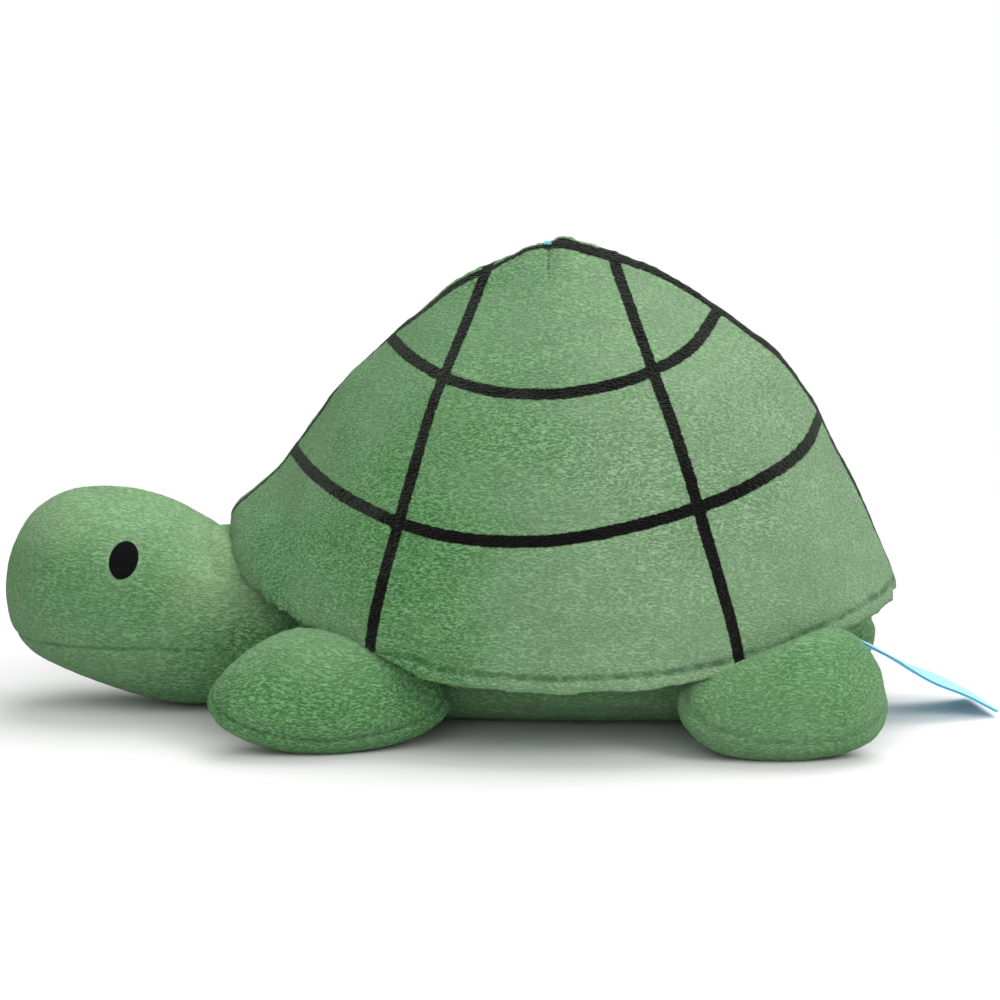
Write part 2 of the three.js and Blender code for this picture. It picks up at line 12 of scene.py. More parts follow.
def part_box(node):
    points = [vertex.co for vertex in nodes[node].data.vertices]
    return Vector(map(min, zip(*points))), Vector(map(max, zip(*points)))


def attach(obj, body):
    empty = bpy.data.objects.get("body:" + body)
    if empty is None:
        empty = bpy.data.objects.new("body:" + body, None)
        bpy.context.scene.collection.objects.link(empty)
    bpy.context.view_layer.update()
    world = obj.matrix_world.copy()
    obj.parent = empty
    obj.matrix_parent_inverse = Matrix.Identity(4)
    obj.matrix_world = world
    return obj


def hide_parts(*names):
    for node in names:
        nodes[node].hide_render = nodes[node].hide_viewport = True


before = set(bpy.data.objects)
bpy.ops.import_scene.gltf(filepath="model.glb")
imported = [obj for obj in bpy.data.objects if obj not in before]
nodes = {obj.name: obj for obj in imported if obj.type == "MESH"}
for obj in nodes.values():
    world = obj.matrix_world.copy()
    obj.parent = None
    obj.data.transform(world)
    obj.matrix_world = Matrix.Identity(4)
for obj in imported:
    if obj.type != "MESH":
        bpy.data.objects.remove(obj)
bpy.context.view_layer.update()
random.seed(7)
mm = 0.001
print("frame loaded")

view = {
    "azimuth": 4.0,      # degrees, from the side towards the tail
    "elevation": 10.0,
    "distance": 1.0,
    "target": (0.0, 0.0, 62 * mm),
    "lens": 124.2,
    "sensor": 36.0,
}


def mix(a, b, share):
    return a + (b - a) * share


def ease(share):
    share = np.clip(share, 0.0, 1.0)
    return share * share * (3.0 - 2.0 * share)


def easeOver(values, start, over):
    return ease((values - start) / over)


def bell(way, width):
    return np.exp(-(way / width) ** 2)


def linear(red, green, blue):
    def channel(value):
        value = value / 255.0
        return value / 12.92 if value <= 0.04045 else ((value + 0.055) / 1.055) ** 2.4
    return (channel(red), channel(green), channel(blue), 1.0)


# Camera, at the photograph's angle
def setCamera():
    turn = math.radians(view["azimuth"])
    rise = math.radians(view["elevation"])
    ahead = Vector((-math.sin(turn) * math.cos(rise), math.cos(turn) * math.cos(rise), -math.sin(rise)))
    camera = bpy.data.objects.new("camera", bpy.data.cameras.new("camera"))
    camera.data.lens = view["lens"]
    camera.data.sensor_width = view["sensor"]
    camera.data.clip_end = 50.0
    camera.location = Vector(view["target"]) - ahead * view["distance"]
    camera.rotation_euler = ahead.to_track_quat("-Z", "Y").to_euler()
    bpy.context.collection.objects.link(camera)
    bpy.context.scene.camera = camera


setCamera()


def newPiece(name, mesh):
    piece = bpy.data.objects.new(name, mesh)
    bpy.context.collection.objects.link(piece)
    return piece


def settle(piece):
    # The mesh as its modifiers leave it takes the place of the plain one.
    graph = bpy.context.evaluated_depsgraph_get()
    shaped = piece.evaluated_get(graph)
    mesh = bpy.data.meshes.new_from_object(shaped, preserve_all_data_layers=True, depsgraph=graph)
    old = piece.data
    piece.modifiers.clear()
    piece.data = mesh
    bpy.data.meshes.remove(old)


def meshFrom(name, shape):
    mesh = bpy.data.meshes.new(name)
    shape.to_mesh(mesh)
    shape.free()
    return mesh


def treeOf(mesh):
    skin = bmesh.new()
    skin.from_mesh(mesh)
    tree = BVHTree.FromBMesh(skin)
    skin.free()
    return tree


def shadeSmooth(mesh):
    for polygon in mesh.polygons:
        polygon.use_smooth = True


def placesOf(mesh):
    flat = np.empty(len(mesh.vertices) * 3, dtype=np.float32)
    mesh.vertices.foreach_get("co", flat)
    return flat.reshape(-1, 3).astype(float)


def setPlaces(mesh, places):
    mesh.vertices.foreach_set("co", places.astype(np.float32).ravel())
    mesh.update()


def normalsOf(mesh):
    flat = np.empty(len(mesh.vertices) * 3, dtype=np.float32)
    mesh.vertex_normals.foreach_get("vector", flat)
    return flat.reshape(-1, 3).astype(float)


def storeField(mesh, name, values):
    kind = "FLOAT_VECTOR" if values.ndim == 2 else "FLOAT"
    field = mesh.attributes.get(name) or mesh.attributes.new(name, kind, "POINT")
    key = "vector" if values.ndim == 2 else "value"
    field.data.foreach_set(key, values.astype(np.float32).ravel())


def readField(mesh, name):
    field = mesh.attributes[name]
    wide = field.data_type == "FLOAT_VECTOR"
    flat = np.empty(len(field.data) * (3 if wide else 1), dtype=np.float32)
    field.data.foreach_get("vector" if wide else "value", flat)
    return flat.reshape(-1, 3).astype(float) if wide else flat.astype(float)


def copyOfNodes(names):
    copy = bmesh.new()
    for name in names:
        copy.from_mesh(nodes[name].data)
    bmesh.ops.remove_doubles(copy, verts=copy.verts, dist=1e-6)
    return copy


def keepLargest(mesh):
    # Only the outer skin is wanted: what the remesh closed off inside goes.
    skin = bmesh.new()
    skin.from_mesh(mesh)
    left = set(skin.verts)
    groups = []
    while left:
        start = left.pop()
        group = [start]
        queue = [start]
        while queue:
            for edge in queue.pop().link_edges:
                for vert in edge.verts:
                    if vert in left:
                        left.remove(vert)
                        group.append(vert)
                        queue.append(vert)
        groups.append(group)
    groups.sort(key=len, reverse=True)
    for group in groups[1:]:
        bmesh.ops.delete(skin, geom=group, context="VERTS")
    bmesh.ops.recalc_face_normals(skin, faces=skin.faces)
    skin.to_mesh(mesh)
    skin.free()


nodeTrees = {}


def distancesToNodes(names, places):
    # How far each place is from the nearest of these nodes
    nearest = np.full(len(places), 1.0)
    for name in names:
        if name not in nodeTrees:
            copy = copyOfNodes([name])
            nodeTrees[name] = BVHTree.FromBMesh(copy)
            copy.free()
        find = nodeTrees[name].find_nearest
        nearest = np.minimum(nearest, [find(place)[3] for place in places])
    return nearest


def fromSeam(seam, places):
    # Below zero on the first side of the seam, above zero on the other, and their size is the way to it.
    one, other = seam["between"]
    return distancesToNodes(one, places) - distancesToNodes(other, places)


def distancesTo(points, places):
    tree = KDTree(len(points))
    for index, point in enumerate(points):
        tree.insert(point, index)
    tree.balance()
    return np.array([tree.find(place)[2] for place in places])


def noiseAt(places, size, offset=(0.0, 0.0, 0.0)):
    shift = Vector(offset)
    return np.array([noise.noise(Vector(place) / size + shift) for place in places])


paddedPieces = {
    "shell_plush": {
        "nodes": ["shell_left_panel", "shell_right_panel", "shell_underside", "shell_stuffing"],
        "body": "trunk", "voxel": 1.6 * mm, "soft": 6, "smooth": 8, "swell": 0.7 * mm,
        "shrink": 0.6 * mm, "cap": 1.6 * mm, "fill": 0.75, "lumps": 0.7 * mm,
        "seams": {
            "ridge": {"between": (["shell_left_panel"], ["shell_right_panel"]),
                      "depth": 0.0, "shade": 0.0, "pucker": 0.1 * mm},
            "rim": {"between": (["shell_left_panel", "shell_right_panel"], ["shell_underside"]),
                    "depth": 0.55 * mm, "shade": 0.65, "pucker": 0.45 * mm},
        },
    },
    "body_plush": {
        "nodes": ["body_side_panel", "belly_panel", "body_stuffing"],
        "body": "trunk", "voxel": 2.4 * mm, "soft": 3, "smooth": 3, "swell": 0.0,
        "shrink": 0.4 * mm, "cap": 0.5 * mm, "fill": 0.7, "lumps": 0.3 * mm,
        "seams": {"belly": {"between": (["body_side_panel"], ["belly_panel"]),
                            "depth": 0.4 * mm, "shade": 0.3, "pucker": 0.3 * mm}},
    },
    "neck_plush": {
        "nodes": ["neck_cover", "neck_stuffing"],
        "body": "neck", "voxel": 1.8 * mm, "soft": 2, "smooth": 2, "swell": 0.0,
        "shrink": 0.0, "cap": 0.3 * mm, "fill": 0.7, "lumps": 0.1 * mm, "seams": {},
    },
    "head_plush": {
        "nodes": ["head_left_panel", "head_right_panel", "chin_panel", "head_stuffing"],
        "body": "head", "voxel": 1.4 * mm, "soft": 55, "smooth": 4, "swell": 1.3 * mm,
        "shrink": 0.2 * mm, "cap": 0.9 * mm, "fill": 0.8, "lumps": 0.25 * mm,
        "seams": {
            "brow": {"between": (["head_left_panel"], ["head_right_panel"]),
                     "depth": 0.35 * mm, "shade": 0.2, "pucker": 0.1 * mm},
            "chin": {"between": (["head_left_panel", "head_right_panel"], ["chin_panel"]),
                     "depth": 0.4 * mm, "shade": 0.5, "pucker": 0.15 * mm},
        },
    },
}

# Where a limb's corners fill out: a place on it from -1 to 1, the reach round it, and how far x and z go out
plumpCorners = {
    "flipper": [((0.6, 0.7), 0.6, (0, 2.5 * mm)), ((-0.8, 0), 0.6, (-1.0 * mm, 0))],
    "foot": [((1.0, 0.45), 0.6, (-2.5 * mm, 0)), ((-1, -0.2), 0.7, (-2.8 * mm, 0)),
             ((0.3, 1.0), 0.6, (0, 0.6 * mm)), ((0.9, -0.7), 0.5, (2.5 * mm, -1.5 * mm)),
             ((-0.7, -0.8), 0.5, (-1.5 * mm, -1.5 * mm))],
}
edgeShades = {"flipper": 0.6, "foot": 0.25}
clearShare = 0.4     # of a limb's thickness, on the side that faces the body
for limb in ("front_left_flipper", "front_right_flipper", "hind_left_foot", "hind_right_foot"):
    kind = limb.split("_")[-1]
    paddedPieces[limb + "_plush"] = {
        "nodes": [limb + "_outer_panel", limb + "_inner_panel", limb + "_stuffing"],
        "body": limb, "voxel": 1.4 * mm, "soft": 44, "smooth": 4, "swell": 1.5 * mm,
        "shrink": 0.2 * mm, "cap": 0.9 * mm, "fill": 0.8, "lumps": 0.35 * mm, "plump": plumpCorners[kind],
        "seams": {"edge": {"between": ([limb + "_outer_panel"], [limb + "_inner_panel"]),
                           "depth": 0.45 * mm, "shade": edgeShades[kind], "pucker": 0.45 * mm}},
    }

# The neck is a ball about the point on which the head sways and nods, so it never leaves the shell's edge.
neckPlan = {
    "pivot": (-68.1 * mm, 0.0, 28.3 * mm),
    "radius": 26.5 * mm,
    "bulge": 3.9 * mm,
    "bulgeTurn": 50.0,       # degrees either side of straight ahead
    "bulgeRise": (-8.0, 18.0, 50.0, 72.0),
}

# The head's edge beside the shell keeps its place, its nape dips, and nape and crown are made paler: a
# painted highlight.
napePlan = {
    "heldReach": 29 * mm,
    "heldFade": 12 * mm,
    "heldShare": 0.3,
    "dip": 2.6 * mm,
    "dipFrom": (-98 * mm, 40 * mm),      # x and z
    "dipOver": (18 * mm, 12 * mm),
    "crownHighlight": 0.55,
    "crownFrom": 44 * mm,
    "crownOver": 16 * mm,
    "napeHighlight": 0.8,
    "napeFrom": (-104 * mm, 22 * mm),
    "napeOver": (22 * mm, 18 * mm),
}

# The shell's edge hangs down over the body, rolls under and puckers, more of it towards the tail.
rimPlan = {
    "hangFront": 1.6 * mm,
    "hangRear": 4.6 * mm,
    "hangFrom": -45 * mm,
    "hangOver": 110 * mm,
    "hangReach": 5 * mm,
    "flare": 1.0 * mm,
    "middle": 18 * mm,
    "seamShifts": (-2.0 * mm, 2.0 * mm),
    "shiftOver": 30 * mm,
    "roll": 0.6 * mm,
    "rollAt": 2.8 * mm,
    "rollWidth": 2.4 * mm,
    "puckerShares": (0.15, 0.65),
    "puckerFrom": -20 * mm,
    "puckerOver": 100 * mm,
    "calmShare": 0.7,        # the tip at the tail is calmer again
    "calmFrom": 84 * mm,
    "calmOver": 24 * mm,
}

filling = {
    "pressure": 4.0,
    "pressureVoxel": 5 * mm,
    "mass": 0.02,
    "frames": 20,
    "pinReach": 1.6 * mm,        # from a seam
    "floorReach": 0.4 * mm,
    "neckReach": 3 * mm,
}


def neighbourMean(mesh):
    # A function that gives each point's value as the mean of its neighbours
    flat = np.empty(len(mesh.edges) * 2, dtype=np.int32)
    mesh.edges.foreach_get("vertices", flat)
    one, other = flat.reshape(-1, 2).T
    size = len(mesh.vertices)
    count = np.bincount(flat, minlength=size)[:, None]

    def mean(values):
        total = [np.bincount(one, values[other, axis], size) + np.bincount(other, values[one, axis], size)
                 for axis in range(3)]
        return np.stack(total, axis=1) / count
    return mean


def awayFromBody(places, plan):
    # 0 on the side of a limb that faces the body, so that it still swings clear, and 1 on its outer side
    if "plump" not in plan:
        return np.ones(len(places))
    aside = np.abs(places[:, 1])
    return ease((aside - aside.min()) / (aside.max() - aside.min()) / clearShare)


def easedFrom(places, start, over):
    # From 0 to 1 in x, and in z
    (startX, startZ), (overX, overZ) = start, over
    return easeOver(places[:, 0], startX, overX) * easeOver(places[:, 2], startZ, overZ)


def evenOut(mesh, plan):
    # Plain rounds take off the flat facets, and the back and forth ones only the small steps.
    mean = neighbourMean(mesh)
    places = placesOf(mesh)
    weight = np.ones((len(places), 1))
    if plan["body"] == "head":
        reach = np.linalg.norm(places - np.array(neckPlan["pivot"]), axis=1)
        free = easeOver(reach, napePlan["heldReach"], napePlan["heldFade"])[:, None]
        weight = napePlan["heldShare"] + (1 - napePlan["heldShare"]) * free
    for _ in range(plan["soft"]):
        places += (mean(places) - places) * 0.5 * weight
    for _ in range(plan["smooth"]):
        places += (mean(places) - places) * 0.5
        places += (mean(places) - places) * -0.52
    setPlaces(mesh, places)
    weight = weight * awayFromBody(places, plan)[:, None]
    places += evenNormals(mesh) * plan["swell"] * weight
    if plan["body"] == "head":
        places[:, 2] -= easedFrom(places, napePlan["dipFrom"], napePlan["dipOver"]) * napePlan["dip"]
    setPlaces(mesh, places)


def evenNormals(mesh, rounds=6):
    # Normals taken over a wider patch, so that a thin edge swells without folding
    mean = neighbourMean(mesh)
    normals = normalsOf(mesh)
    for _ in range(rounds):
        normals = mean(normals)
    return normals / np.maximum(np.linalg.norm(normals, axis=1), 1e-6)[:, None]


def hangRim(mesh, across):
    # The rounded rim comes down and out again by what the rounding took.
    places = placesOf(mesh)
    near = bell(across, rimPlan["hangReach"])
    out = places[:, :2] - [rimPlan["middle"], 0]
    out /= np.linalg.norm(out, axis=1)[:, None]
    towardsTail = easeOver(places[:, 0], rimPlan["hangFrom"], rimPlan["hangOver"])
    places[:, :2] += out * near[:, None] * rimPlan["flare"]
    places[:, 2] -= near * mix(rimPlan["hangFront"], rimPlan["hangRear"], towardsTail)
    setPlaces(mesh, places)


def plumpOut(mesh, plan):
    # A limb presses up against the shell and sits down flat: its corners fill out.
    places = placesOf(mesh)
    low, high = places.min(0), places.max(0)
    middle, half = (low + high) / 2, (high - low) / 2
    share = (places - middle) / half
    outer = awayFromBody(places, plan)
    for (atX, atZ), reach, (outX, outZ) in plan["plump"]:
        near = np.exp(-((share[:, 0] - atX) / reach) ** 2 - ((share[:, 2] - atZ) / reach) ** 2)
        near = near * outer
        places[:, 0] += near * outX
        places[:, 2] += near * outZ
    setPlaces(mesh, places)


def makeSkin(name, plan):
    piece = newPiece(name, meshFrom(name, copyOfNodes(plan["nodes"])))
    remesh = piece.modifiers.new("weave", "REMESH")
    remesh.mode = "VOXEL"
    remesh.voxel_size = plan["voxel"]
    settle(piece)
    keepLargest(piece.data)
    evenOut(piece.data, plan)
    if "plump" in plan:
        plumpOut(piece.data, plan)
    for seamName, seam in plan["seams"].items():
        rest = placesOf(piece.data)
        across = fromSeam(seam, rest)
        if seamName == "rim":
            hangRim(piece.data, across)
            # Seen from the side the seam runs above the edge, and it turns under towards the front.
            share = easeOver(rest[:, 0], rimPlan["hangFrom"], rimPlan["shiftOver"])
            across += mix(*rimPlan["seamShifts"], share)
        storeField(piece.data, seamName, across)
    rest = placesOf(piece.data)
    storeField(piece.data, "restPlace", rest)
    plan["tree"] = treeOf(piece.data)
    plan["start"] = rest - normalsOf(piece.data) * plan["shrink"]
    setPlaces(piece.data, plan["start"])
    plan["piece"] = piece


def addFilling(plan):
    piece = plan["piece"]
    rest = readField(piece.data, "restPlace")
    held = rest[:, 2] < filling["floorReach"]
    for seamName in plan["seams"]:
        held |= np.abs(readField(piece.data, seamName)) < filling["pinReach"]
    if plan["body"] == "head":
        fromPivot = np.linalg.norm(rest - np.array(neckPlan["pivot"]), axis=1)
        held |= fromPivot < neckPlan["radius"] + filling["neckReach"]
    group = piece.vertex_groups.new(name="sewn")
    group.add(np.nonzero(held)[0].tolist(), 1.0, "REPLACE")
    cloth = piece.modifiers.new("filling", "CLOTH")
    cloth.settings.use_pressure = True
    finer = filling["pressureVoxel"] / plan["voxel"]
    cloth.settings.uniform_pressure_force = filling["pressure"] * finer ** 2
    cloth.settings.mass = filling["mass"]
    cloth.settings.vertex_group_mass = "sewn"
    cloth.settings.effector_weights.gravity = 0.0
    cloth.point_cache.frame_start = 1
    cloth.point_cache.frame_end = filling["frames"]


def fillAll():
    for plan in paddedPieces.values():
        addFilling(plan)
    scene = bpy.context.scene
    for frameNumber in range(1, filling["frames"] + 1):
        scene.frame_set(frameNumber)
    for name, plan in paddedPieces.items():
        settle(plan["piece"])
        moved = placesOf(plan["piece"].data) - plan["start"]
        length = np.linalg.norm(moved, axis=1)
        print(f"  {name} filled out by {length.mean() / mm:.2f}, at most {length.max() / mm:.2f} mm")
        held = np.minimum(length, plan["cap"]) / np.maximum(length, 1e-9)
        setPlaces(plan["piece"].data, plan["start"] + moved * held[:, None])
        plan["piece"].vertex_groups.clear()
    scene.frame_set(1)


def refine(plan):
    piece = plan["piece"]
    finer = piece.modifiers.new("finer", "SUBSURF")
    finer.levels = 1
    finer.render_levels = 1
    settle(piece)


for name, plan in paddedPieces.items():
    makeSkin(name, plan)
    print(f"  {name}: {len(plan['piece'].data.vertices)} points")
print("skins made")
fillAll()
print("pieces filled")


shellLow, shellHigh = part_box("shell_left_panel")
shellLength = shellHigh.x - shellLow.x

printedLines = {
    "halfWidth": 1.8 * mm,
    # Places on the side of the shell: share of its length, height in millimetres
    "frontRib": [(0.39, 131), (0.355, 114), (0.318, 93), (0.282, 66), (0.24, 31), (0.236, 24)],
    "rearRib": [(0.565, 138), (0.618, 114.5), (0.672, 89), (0.715, 65), (0.769, 30), (0.778, 22)],
    "upperHoop": [(0.225, 112), (0.28, 106), (0.39, 99.5), (0.50, 99), (0.63, 104), (0.70, 111),
                  (0.74, 121)],
    "lowerHoop": [(0.075, 79), (0.186, 69.6), (0.32, 62.3), (0.48, 61), (0.65, 66.5), (0.794, 75),
                  (0.86, 82), (0.90, 93)],
}
sideView = {"lengthScale": 200, "rayStart": -0.2}      # a share of the length counts as so many millimetres

# A short dart sewn into the near panel below the top, and the cloth puffs up beside it
dartPlan = {
    "share": 0.478,
    "length": 10.5 * mm,
    "lean": 0.8 * mm,
    "width": 0.9 * mm,
    "depth": 0.8 * mm,
    "foldEnd": 1.2,          # in lengths of the dart, where the fold and the puffs have faded out
    "puffEnd": 1.3,
    "shade": 0.7,
    "puff": 0.5 * mm,
    "puffAt": 5 * mm,
    "puffWidth": 4 * mm,
}
crestPlan = {"share": 0.478, "width": 0.13, "above": 115 * mm, "over": 20 * mm, "lift": 1.1 * mm}


def smoothLine(points, count=240):
    # A curve through a few places, its slope taken from the neighbours of each.
    points = np.array(points, float)
    steps = np.linalg.norm(np.diff(points, axis=0) * [sideView["lengthScale"], 1], axis=1)
    along = np.concatenate([[0], np.cumsum(steps)])
    slopes = np.gradient(points, along, axis=0)
    result = []
    for place in np.linspace(0, along[-1], count):
        i = min(np.searchsorted(along, place, side="right") - 1, len(along) - 2)
        span = along[i + 1] - along[i]
        t = (place - along[i]) / span
        a, b = points[i], points[i + 1]
        leaving = slopes[i] * span * t * (1 - t) ** 2
        arriving = slopes[i + 1] * span * t * t * (1 - t)
        result.append(a + (b - a) * (t * t * (3 - 2 * t)) + leaving - arriving)
    return result


def linePoints(tree, line):
    # The line is laid on the shell from the side, and on its far side too.
    points = []
    for share, height in smoothLine(line):
        x = shellLow.x + share * shellLength
        z = height * mm
        hit = tree.ray_cast(Vector((x, sideView["rayStart"], z)), Vector((0, 1, 0)))[0]
        if hit is None or hit.y > 0:
            hit = tree.find_nearest(Vector((x, 0, z)))[0]
        points.append(hit)
        points.append(Vector((hit.x, -hit.y, hit.z)))
    return points


def spread(points, step=0.4 * mm, gap=6 * mm):
    result = []
    for side in (0, 1):
        row = points[side::2]
        for a, b in zip(row, row[1:]):
            length = (b - a).length
            if length > gap:
                continue
            count = max(1, int(length / step))
            result.extend(a.lerp(b, k / count) for k in range(count))
    return result


farAway = 0.05     # stands for the way to a seam or line that a piece doesn't have
finishes = {
    "grooveWidth": 1.0 * mm,
    "foldSize": 5.5 * mm,
    "puckerReach": 5 * mm,
    # Size, where in the noise, and share of the piece's own lumps
    "lumps": [(34 * mm, (3.1, 0, 0), 2), (13 * mm, (0, 0, 8.3), 0.6)],
    "pileHeight": 0.1 * mm,
    "pileSize": 1.8 * mm,
    "pileAt": (0, 5.2, 0),
}

ridgePlan = {
    "above": 45 * mm,
    # Share of the shell's length, and how far the printed ridge line lies to the near side there
    "shifts": [(0.0, 3.0 * mm), (0.12, 2.8 * mm), (0.20, 0.2 * mm), (0.30, 2.8 * mm), (0.38, 2.8 * mm),
               (0.44, 1.6 * mm), (0.52, 3.0 * mm), (0.66, 1.7 * mm), (1.0, 2.0 * mm)],
    "halfWidths": [(0.2, 0.9 * mm), (0.25, 1.3 * mm), (0.36, 1.3 * mm), (0.40, 0.8 * mm),
                   (0.47, 0.8 * mm), (0.5, 1.7 * mm)],
}


def easedAlong(share, stops):
    # The value at a share of the way, passing softly from each stop to the next
    places, values = np.array(stops).T
    index = np.clip(np.searchsorted(places, share) - 1, 0, len(places) - 2)
    between = ease((share - places[index]) / (places[index + 1] - places[index]))
    return mix(values[index], values[index + 1], between)


eyePlan = {
    "halfWidth": 4.35 * mm,
    "halfHeight": 6.1 * mm,
    "lean": 12.0,           # degrees, its top towards the shell
    "grid": (96, 126),
    "rise": 0.5 * mm,
    "edgeDrop": 0.25 * mm,
    "thickness": 0.5 * mm,
    "threadPitch": 0.36 * mm,
    "threadHeight": 0.12 * mm,
    "threadWander": 0.35,
    "slant": 18.0,
    "haloAt": 1.07,
    "haloWidth": 0.06,
}


def eyeHalo(places):
    # The pile lies flat and pale in a thin ring round each eye.
    result = np.zeros(len(places))
    lean = math.radians(eyePlan["lean"])
    for node in ("left_eye", "right_eye"):
        low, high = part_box(node)
        centre = (low + high) / 2
        x, z = places[:, 0] - centre.x, places[:, 2] - centre.z
        across = (x * math.cos(lean) - z * math.sin(lean)) / eyePlan["halfWidth"]
        up = (x * math.sin(lean) + z * math.cos(lean)) / eyePlan["halfHeight"]
        ring = bell(np.hypot(across, up) - eyePlan["haloAt"], eyePlan["haloWidth"])
        result += np.where(places[:, 1] * centre.y > 0, ring, 0.0)
    return result


def sewSeams(mesh, plan, rest):
    # How far the seams lift each point, how far it lies from one, and how much painted shade that one lays
    # on the fabric
    lift = np.zeros(len(rest))
    seamDistance = np.full(len(rest), farAway)
    seamShade = np.zeros(len(rest))
    folds = noiseAt(rest, finishes["foldSize"])
    for seamName, seam in plan["seams"].items():
        across = readField(mesh, seamName)
        distance = np.abs(across)
        mesh.attributes.remove(mesh.attributes[seamName])
        groove, pucker = seam["depth"], seam["pucker"]
        if seamName == "rim":
            # The shell's edge is a soft roll below the seam.
            lift += bell(across - rimPlan["rollAt"], rimPlan["rollWidth"]) * rimPlan["roll"]
            least, more = rimPlan["puckerShares"]
            share = least + more * easeOver(rest[:, 0], rimPlan["puckerFrom"], rimPlan["puckerOver"])
            atTip = easeOver(rest[:, 0], rimPlan["calmFrom"], rimPlan["calmOver"])
            calm = 1 - rimPlan["calmShare"] * atTip
            groove = groove * calm
            pucker = pucker * share * calm
        lift -= bell(distance, finishes["grooveWidth"]) * groove
        lift += bell(distance, finishes["puckerReach"]) * pucker * folds
        seamShade = np.where(distance < seamDistance, seam["shade"], seamShade)
        seamDistance = np.minimum(seamDistance, distance)
    return lift, seamDistance, seamShade


def fromLines(tree, rest):
    # How far each point of the shell lies from the middle of a printed line
    distance = np.full(len(rest), farAway)
    for key in ("frontRib", "rearRib", "upperHoop", "lowerHoop"):
        points = spread(linePoints(tree, printedLines[key]))
        distance = np.minimum(distance, distancesTo(points, rest))
    share = (rest[:, 0] - shellLow.x) / shellLength
    fromRidge = np.abs(rest[:, 1] + easedAlong(share, ridgePlan["shifts"]))
    fromRidge[rest[:, 2] < ridgePlan["above"]] = farAway
    ridgeHalf = easedAlong(share, ridgePlan["halfWidths"])
    return np.minimum(distance, fromRidge + printedLines["halfWidth"] - ridgeHalf)


def sewDart(rest):
    # How far the crest and the dart lift each point of the shell, and how far it lies from the dart
    dart, crest = dartPlan, crestPlan
    down = (shellHigh.z - rest[:, 2]) / dart["length"]
    beside = np.hypot(rest[:, 0] - mix(shellLow.x, shellHigh.x, dart["share"]) - dart["lean"] * down,
                      np.maximum(0, down - 1) * dart["length"])
    beside[rest[:, 1] > 0] = farAway
    share = (rest[:, 0] - shellLow.x) / shellLength
    high = easeOver(rest[:, 2], crest["above"], crest["over"])
    lift = bell(share - crest["share"], crest["width"]) * high * crest["lift"]
    lift -= bell(beside, dart["width"]) * dart["depth"] * np.clip(dart["foldEnd"] - down, 0, 1)
    puff = bell(beside - dart["puffAt"], dart["puffWidth"]) * dart["puff"]
    lift += puff * np.clip(dart["puffEnd"] - down, 0, 1)
    return lift, beside


def roundNeck(places):
    # A ball about the upright axis, with a bulge ahead that fills the nape
    pivot = np.array(neckPlan["pivot"])
    away = places - pivot
    length = np.linalg.norm(away, axis=1)
    turn = np.degrees(np.arctan2(away[:, 1], -away[:, 0]))
    rise = np.degrees(np.arcsin(away[:, 2] / length))
    low, full, fullEnd, high = neckPlan["bulgeRise"]
    bulge = ease((rise - low) / (full - low)) * ease((high - rise) / (high - fullEnd))
    bulge = bulge * bell(turn, neckPlan["bulgeTurn"]) * neckPlan["bulge"]
    return pivot + away / length[:, None] * (neckPlan["radius"] + bulge)[:, None]


# Painted highlight on the head: paler on the crown by height, and on the nape towards the back and up
def paintedHeadHighlight(rest):
    crown = napePlan["crownHighlight"] * easeOver(rest[:, 2], napePlan["crownFrom"], napePlan["crownOver"])
    nape = napePlan["napeHighlight"] * easedFrom(rest, napePlan["napeFrom"], napePlan["napeOver"])
    return np.maximum(crown, nape)


def finishShape(name, plan):
    refine(plan)
    mesh = plan["piece"].data
    rest = readField(mesh, "restPlace")
    places = placesOf(mesh)
    normals = evenNormals(mesh, 4)
    lift, seamDistance, seamShade = sewSeams(mesh, plan, rest)
    for size, shift, share in finishes["lumps"]:
        lift += noiseAt(rest, size, shift) * plan["lumps"] * share
    lift += noiseAt(rest, finishes["pileSize"], finishes["pileAt"]) * finishes["pileHeight"]
    lineDistance = np.full(len(places), farAway)
    if name == "shell_plush":
        lineDistance = fromLines(plan["tree"], rest)
        dartLift, beside = sewDart(rest)
        lift += dartLift
        # The dart's fold gets painted shade as well.
        seamShade = np.where(beside < seamDistance, dartPlan["shade"], seamShade)
        seamDistance = np.minimum(seamDistance, beside)
    places += normals * lift[:, None]
    if name == "neck_plush":
        places = roundNeck(places)
    places[:, 2] = np.maximum(places[:, 2], 0.0)
    setPlaces(mesh, places)
    storeField(mesh, "seamDistance", seamDistance)
    storeField(mesh, "seamShade", seamShade)
    storeField(mesh, "lineDistance", lineDistance)
    if plan["body"] in ("head", "neck"):
        storeField(mesh, "headHighlight", paintedHeadHighlight(rest))
    if plan["body"] == "head":
        storeField(mesh, "eyeHalo", eyeHalo(rest))
    mesh.attributes.remove(mesh.attributes["restPlace"])
    shadeSmooth(mesh)
    print(f"  {name}: {len(mesh.polygons)} faces")


for name, plan in paddedPieces.items():
    finishShape(name, plan)
print("seams sewn")


def addNode(tree, kind, **values):
    node = tree.nodes.new(kind)
    for key, value in values.items():
        setattr(node, key, value)
    return node


def socketGroup(name, inputs, outputs):
    group = bpy.data.node_groups.new(name, "ShaderNodeTree")
    for label, kind, value in inputs:
        socket = group.interface.new_socket(label, in_out="INPUT", socket_type=kind)
        if value is not None:
            socket.default_value = value
    for label, kind in outputs:
        group.interface.new_socket(label, in_out="OUTPUT", socket_type=kind)
    return group


def sums(tree, operation, a, b):
    node = addNode(tree, "ShaderNodeMath", operation=operation)
    for socket, value in zip(node.inputs, (a, b)):
        if isinstance(value, (int, float)):
            socket.default_value = value
        else:
            tree.links.new(value, socket)
    return node.outputs[0]


